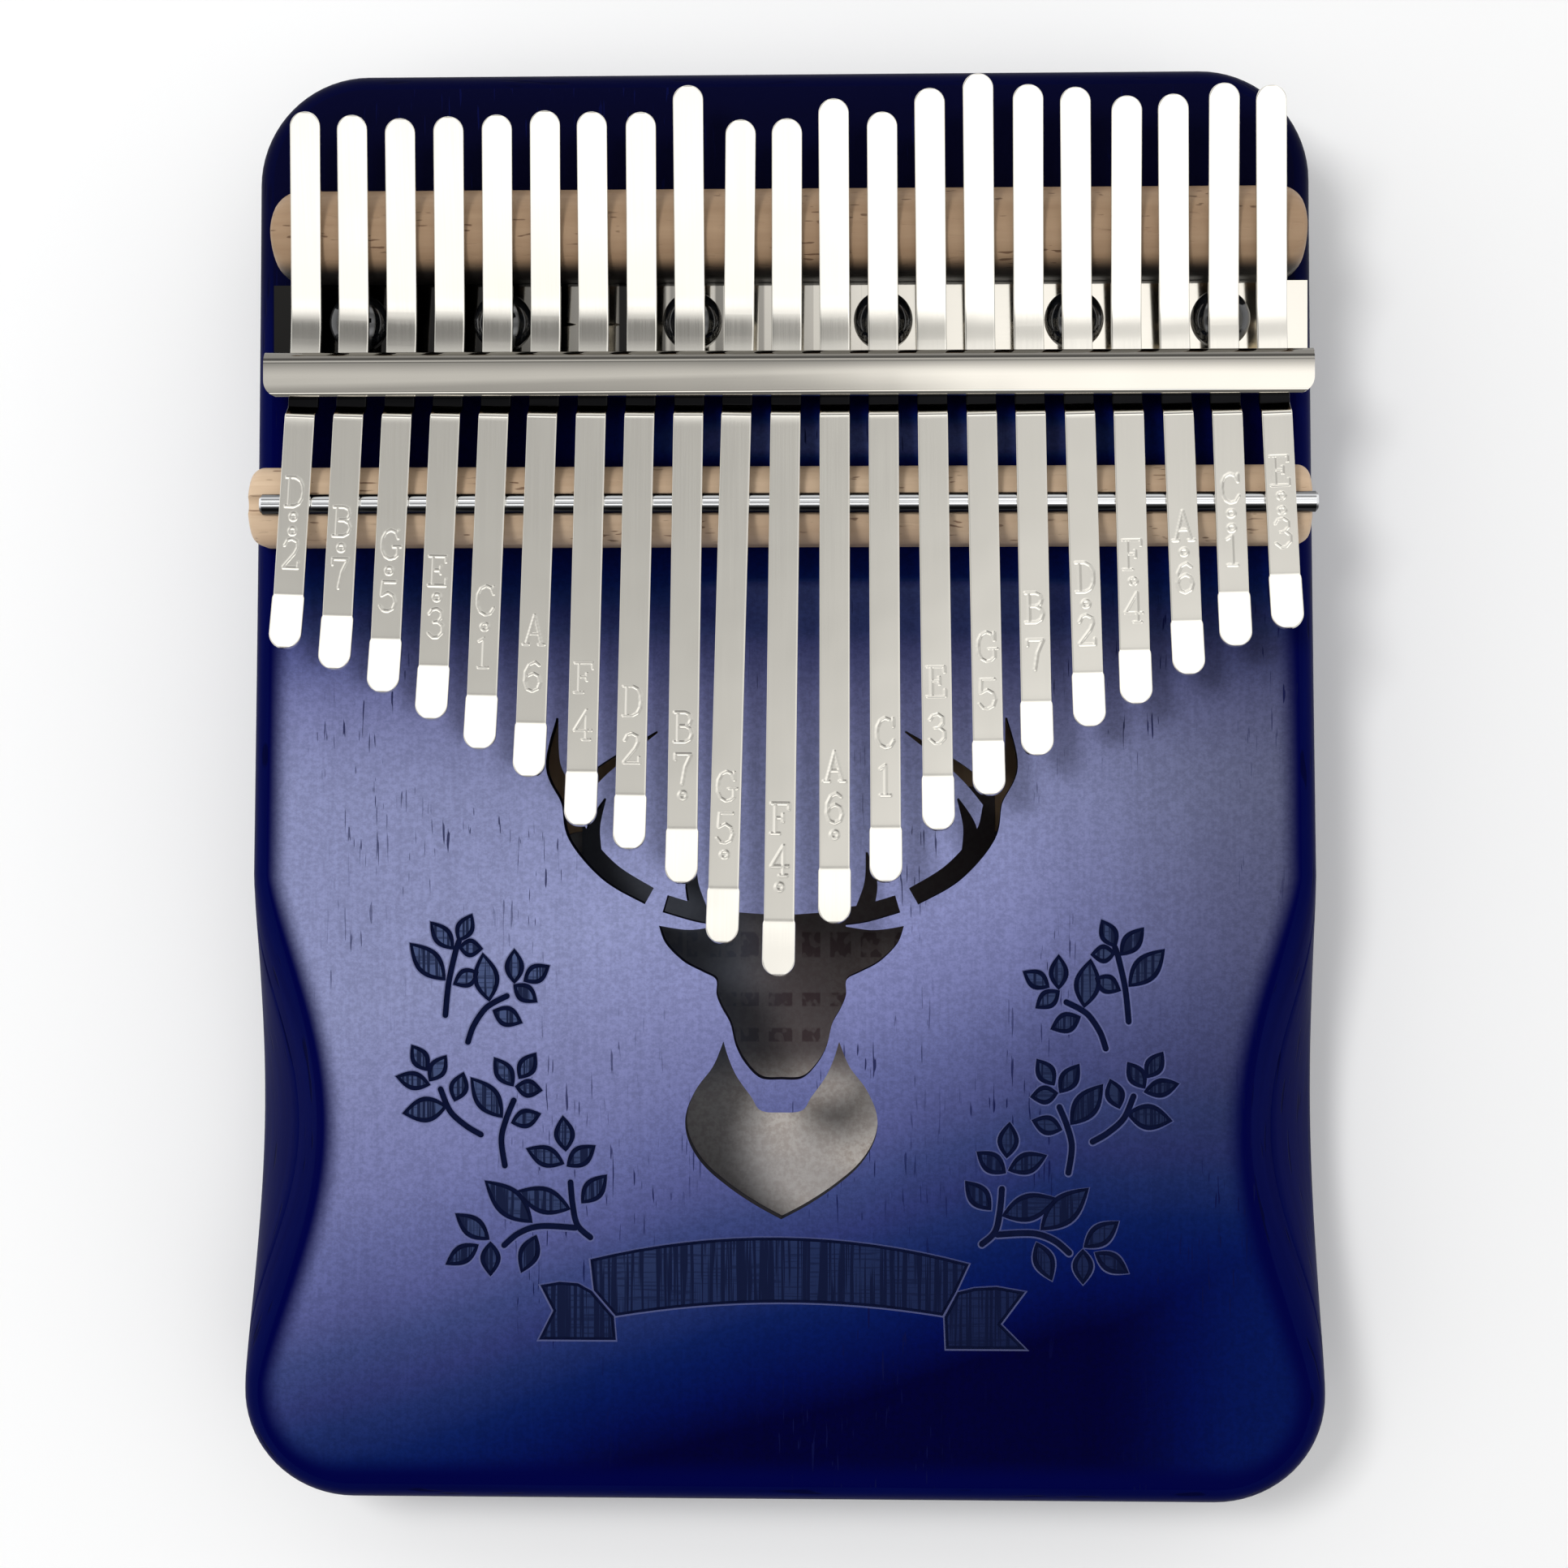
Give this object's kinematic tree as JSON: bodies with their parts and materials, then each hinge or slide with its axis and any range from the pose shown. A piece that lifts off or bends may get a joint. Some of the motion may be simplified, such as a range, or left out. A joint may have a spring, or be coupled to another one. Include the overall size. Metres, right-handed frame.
{
  "type": "box kalimba",
  "caption": "Hollow wooden thumb piano: steel tines clamped over two bridges on a box with an animal-shaped sound hole.",
  "frame": {"origin": "middle of the sound box's back face, on the surface that it lies on", "axes": "+Z out of the soundboard, +Y towards the head end where the tines are clamped, +X to the player's right when the tines point at the player"},
  "size_m": [0.1582, 0.2084, 0.0551],
  "materials": {
    "stained_board": "satin stain on open-pored wood",
    "stained_sides": "satin dark blue stain",
    "stained_back": "satin stain on open-pored wood",
    "inner_wood": "bare sawn wood",
    "beech": "clear satin varnish",
    "tine_steel": "brushed, polished tips",
    "rod_steel": "polished",
    "bracket_steel": "satin",
    "black_screw": "gloss black",
    "label_paper": "matt printed paper"
  },
  "bodies": {
    "sound_box": {"back_plate": "stained_back", "body_rim": "stained_sides", "soundboard": "stained_board", "clamp_block": "inner_wood", "inner_label": "label_paper", "upper_bridge": "beech", "lower_bridge": "beech", "bridge_rod": "rod_steel", "clamp_bracket": "bracket_steel", "clamp_screw_1": "black_screw", "clamp_screw_2": "black_screw", "clamp_screw_3": "black_screw", "clamp_screw_4": "black_screw", "clamp_screw_5": "black_screw", "clamp_screw_6": "black_screw"},
    "tail_1": {"tine_tail_1": "tine_steel"},
    "blade_1": {"tine_blade_1": "tine_steel"},
    "tail_2": {"tine_tail_2": "tine_steel"},
    "blade_2": {"tine_blade_2": "tine_steel"},
    "tail_3": {"tine_tail_3": "tine_steel"},
    "blade_3": {"tine_blade_3": "tine_steel"},
    "tail_4": {"tine_tail_4": "tine_steel"},
    "blade_4": {"tine_blade_4": "tine_steel"},
    "tail_5": {"tine_tail_5": "tine_steel"},
    "blade_5": {"tine_blade_5": "tine_steel"},
    "tail_6": {"tine_tail_6": "tine_steel"},
    "blade_6": {"tine_blade_6": "tine_steel"},
    "tail_7": {"tine_tail_7": "tine_steel"},
    "blade_7": {"tine_blade_7": "tine_steel"},
    "tail_8": {"tine_tail_8": "tine_steel"},
    "blade_8": {"tine_blade_8": "tine_steel"},
    "tail_9": {"tine_tail_9": "tine_steel"},
    "blade_9": {"tine_blade_9": "tine_steel"},
    "tail_10": {"tine_tail_10": "tine_steel"},
    "blade_10": {"tine_blade_10": "tine_steel"},
    "tail_11": {"tine_tail_11": "tine_steel"},
    "blade_11": {"tine_blade_11": "tine_steel"},
    "tail_12": {"tine_tail_12": "tine_steel"},
    "blade_12": {"tine_blade_12": "tine_steel"},
    "tail_13": {"tine_tail_13": "tine_steel"},
    "blade_13": {"tine_blade_13": "tine_steel"},
    "tail_14": {"tine_tail_14": "tine_steel"},
    "blade_14": {"tine_blade_14": "tine_steel"},
    "tail_15": {"tine_tail_15": "tine_steel"},
    "blade_15": {"tine_blade_15": "tine_steel"},
    "tail_16": {"tine_tail_16": "tine_steel"},
    "blade_16": {"tine_blade_16": "tine_steel"},
    "tail_17": {"tine_tail_17": "tine_steel"},
    "blade_17": {"tine_blade_17": "tine_steel"},
    "tail_18": {"tine_tail_18": "tine_steel"},
    "blade_18": {"tine_blade_18": "tine_steel"},
    "tail_19": {"tine_tail_19": "tine_steel"},
    "blade_19": {"tine_blade_19": "tine_steel"},
    "tail_20": {"tine_tail_20": "tine_steel"},
    "blade_20": {"tine_blade_20": "tine_steel"},
    "tail_21": {"tine_tail_21": "tine_steel"},
    "blade_21": {"tine_blade_21": "tine_steel"}
  },
  "joints": [
    {"name": "tine_1_pluck", "type": "hinge", "parent": "tail_1", "child": "blade_1", "pos_m": [-0.06895, 0.04041, 0.0438], "axis": [1, 0, 0], "range_deg": [0, 0.94], "stiffness_Nm_per_rad": 7.46},
    {"name": "tine_2_pluck", "type": "hinge", "parent": "tail_2", "child": "blade_2", "pos_m": [-0.0619, 0.04041, 0.0438], "axis": [1, 0, 0], "range_deg": [0, 1.07], "stiffness_Nm_per_rad": 6.53},
    {"name": "tine_3_pluck", "type": "hinge", "parent": "tail_3", "child": "blade_3", "pos_m": [-0.05491, 0.04041, 0.0438], "axis": [1, 0, 0], "range_deg": [0, 1.22], "stiffness_Nm_per_rad": 5.74},
    {"name": "tine_4_pluck", "type": "hinge", "parent": "tail_4", "child": "blade_4", "pos_m": [-0.04796, 0.04041, 0.0438], "axis": [1, 0, 0], "range_deg": [0, 1.39], "stiffness_Nm_per_rad": 5.04},
    {"name": "tine_5_pluck", "type": "hinge", "parent": "tail_5", "child": "blade_5", "pos_m": [-0.04101, 0.04041, 0.0438], "axis": [1, 0, 0], "range_deg": [0, 1.58], "stiffness_Nm_per_rad": 4.44},
    {"name": "tine_6_pluck", "type": "hinge", "parent": "tail_6", "child": "blade_6", "pos_m": [-0.03402, 0.04041, 0.0438], "axis": [1, 0, 0], "range_deg": [0, 1.76], "stiffness_Nm_per_rad": 4},
    {"name": "tine_7_pluck", "type": "hinge", "parent": "tail_7", "child": "blade_7", "pos_m": [-0.02694, 0.0404, 0.0438], "axis": [1, 0, 0], "range_deg": [0, 2.06], "stiffness_Nm_per_rad": 3.41},
    {"name": "tine_8_pluck", "type": "hinge", "parent": "tail_8", "child": "blade_8", "pos_m": [-0.02002, 0.0404, 0.0438], "axis": [1, 0, 0], "range_deg": [0, 2.21], "stiffness_Nm_per_rad": 3.18},
    {"name": "tine_9_pluck", "type": "hinge", "parent": "tail_9", "child": "blade_9", "pos_m": [-0.01297, 0.0404, 0.0438], "axis": [1, 0, 0], "range_deg": [0, 2.42], "stiffness_Nm_per_rad": 2.9},
    {"name": "tine_10_pluck", "type": "hinge", "parent": "tail_10", "child": "blade_10", "pos_m": [-0.00631, 0.0404, 0.0438], "axis": [1, 0, 0], "range_deg": [0, 2.79], "stiffness_Nm_per_rad": 2.52},
    {"name": "tine_11_pluck", "type": "hinge", "parent": "tail_11", "child": "blade_11", "pos_m": [0.00084, 0.0404, 0.0438], "axis": [1, 0, 0], "range_deg": [0, 2.99], "stiffness_Nm_per_rad": 2.35},
    {"name": "tine_12_pluck", "type": "hinge", "parent": "tail_12", "child": "blade_12", "pos_m": [0.00795, 0.0404, 0.0438], "axis": [1, 0, 0], "range_deg": [0, 2.66], "stiffness_Nm_per_rad": 2.63},
    {"name": "tine_13_pluck", "type": "hinge", "parent": "tail_13", "child": "blade_13", "pos_m": [0.01494, 0.0404, 0.0438], "axis": [1, 0, 0], "range_deg": [0, 2.41], "stiffness_Nm_per_rad": 2.91},
    {"name": "tine_14_pluck", "type": "hinge", "parent": "tail_14", "child": "blade_14", "pos_m": [0.02199, 0.0404, 0.0438], "axis": [1, 0, 0], "range_deg": [0, 2.09], "stiffness_Nm_per_rad": 3.36},
    {"name": "tine_15_pluck", "type": "hinge", "parent": "tail_15", "child": "blade_15", "pos_m": [0.02897, 0.0404, 0.0438], "axis": [1, 0, 0], "range_deg": [0, 1.87], "stiffness_Nm_per_rad": 3.76},
    {"name": "tine_16_pluck", "type": "hinge", "parent": "tail_16", "child": "blade_16", "pos_m": [0.03586, 0.0404, 0.0438], "axis": [1, 0, 0], "range_deg": [0, 1.62], "stiffness_Nm_per_rad": 4.33},
    {"name": "tine_17_pluck", "type": "hinge", "parent": "tail_17", "child": "blade_17", "pos_m": [0.04294, 0.04041, 0.0438], "axis": [1, 0, 0], "range_deg": [0, 1.44], "stiffness_Nm_per_rad": 4.87},
    {"name": "tine_18_pluck", "type": "hinge", "parent": "tail_18", "child": "blade_18", "pos_m": [0.04973, 0.0404, 0.0438], "axis": [1, 0, 0], "range_deg": [0, 1.3], "stiffness_Nm_per_rad": 5.4},
    {"name": "tine_19_pluck", "type": "hinge", "parent": "tail_19", "child": "blade_19", "pos_m": [0.05688, 0.04041, 0.0438], "axis": [1, 0, 0], "range_deg": [0, 1.11], "stiffness_Nm_per_rad": 6.29},
    {"name": "tine_20_pluck", "type": "hinge", "parent": "tail_20", "child": "blade_20", "pos_m": [0.0637, 0.04041, 0.0438], "axis": [1, 0, 0], "range_deg": [0, 0.94], "stiffness_Nm_per_rad": 7.5},
    {"name": "tine_21_pluck", "type": "hinge", "parent": "tail_21", "child": "blade_21", "pos_m": [0.07082, 0.04041, 0.0438], "axis": [1, 0, 0], "range_deg": [0, 0.82], "stiffness_Nm_per_rad": 8.52},
    {"name": "tine_1_tuning", "type": "slide", "parent": "sound_box", "child": "tail_1", "axis": [0.0401, 0.9992, 0], "range_m": [-0.001, 0.001]},
    {"name": "tine_2_tuning", "type": "slide", "parent": "sound_box", "child": "tail_2", "axis": [0.0332, 0.9995, 0], "range_m": [-0.001, 0.001]},
    {"name": "tine_3_tuning", "type": "slide", "parent": "sound_box", "child": "tail_3", "axis": [0.0297, 0.9996, 0], "range_m": [-0.001, 0.001]},
    {"name": "tine_4_tuning", "type": "slide", "parent": "sound_box", "child": "tail_4", "axis": [0.0279, 0.9996, 0], "range_m": [-0.001, 0.001]},
    {"name": "tine_5_tuning", "type": "slide", "parent": "sound_box", "child": "tail_5", "axis": [0.0262, 0.9997, 0], "range_m": [-0.001, 0.001]},
    {"name": "tine_6_tuning", "type": "slide", "parent": "sound_box", "child": "tail_6", "axis": [0.0227, 0.9997, 0], "range_m": [-0.001, 0.001]},
    {"name": "tine_7_tuning", "type": "slide", "parent": "sound_box", "child": "tail_7", "axis": [0.014, 0.9999, 0], "range_m": [-0.001, 0.001]},
    {"name": "tine_8_tuning", "type": "slide", "parent": "sound_box", "child": "tail_8", "axis": [0.014, 0.9999, 0], "range_m": [-0.001, 0.001]},
    {"name": "tine_9_tuning", "type": "slide", "parent": "sound_box", "child": "tail_9", "axis": [0.007, 1, 0], "range_m": [-0.001, 0.001]},
    {"name": "tine_10_tuning", "type": "slide", "parent": "sound_box", "child": "tail_10", "axis": [0.0209, 0.9998, 0], "range_m": [-0.001, 0.001]},
    {"name": "tine_11_tuning", "type": "slide", "parent": "sound_box", "child": "tail_11", "axis": [0.0087, 1, 0], "range_m": [-0.001, 0.001]},
    {"name": "tine_12_tuning", "type": "slide", "parent": "sound_box", "child": "tail_12", "axis": [-0.0017, 1, 0], "range_m": [-0.001, 0.001]},
    {"name": "tine_13_tuning", "type": "slide", "parent": "sound_box", "child": "tail_13", "axis": [-0.0052, 1, 0], "range_m": [-0.001, 0.001]},
    {"name": "tine_14_tuning", "type": "slide", "parent": "sound_box", "child": "tail_14", "axis": [-0.0122, 0.9999, 0], "range_m": [-0.001, 0.001]},
    {"name": "tine_15_tuning", "type": "slide", "parent": "sound_box", "child": "tail_15", "axis": [-0.0157, 0.9999, 0], "range_m": [-0.001, 0.001]},
    {"name": "tine_16_tuning", "type": "slide", "parent": "sound_box", "child": "tail_16", "axis": [-0.014, 0.9999, 0], "range_m": [-0.001, 0.001]},
    {"name": "tine_17_tuning", "type": "slide", "parent": "sound_box", "child": "tail_17", "axis": [-0.0227, 0.9997, 0], "range_m": [-0.001, 0.001]},
    {"name": "tine_18_tuning", "type": "slide", "parent": "sound_box", "child": "tail_18", "axis": [-0.0157, 0.9999, 0], "range_m": [-0.001, 0.001]},
    {"name": "tine_19_tuning", "type": "slide", "parent": "sound_box", "child": "tail_19", "axis": [-0.0279, 0.9996, 0], "range_m": [-0.001, 0.001]},
    {"name": "tine_20_tuning", "type": "slide", "parent": "sound_box", "child": "tail_20", "axis": [-0.0227, 0.9997, 0], "range_m": [-0.001, 0.001]},
    {"name": "tine_21_tuning", "type": "slide", "parent": "sound_box", "child": "tail_21", "axis": [-0.0332, 0.9995, 0], "range_m": [-0.001, 0.001]}
  ]
}
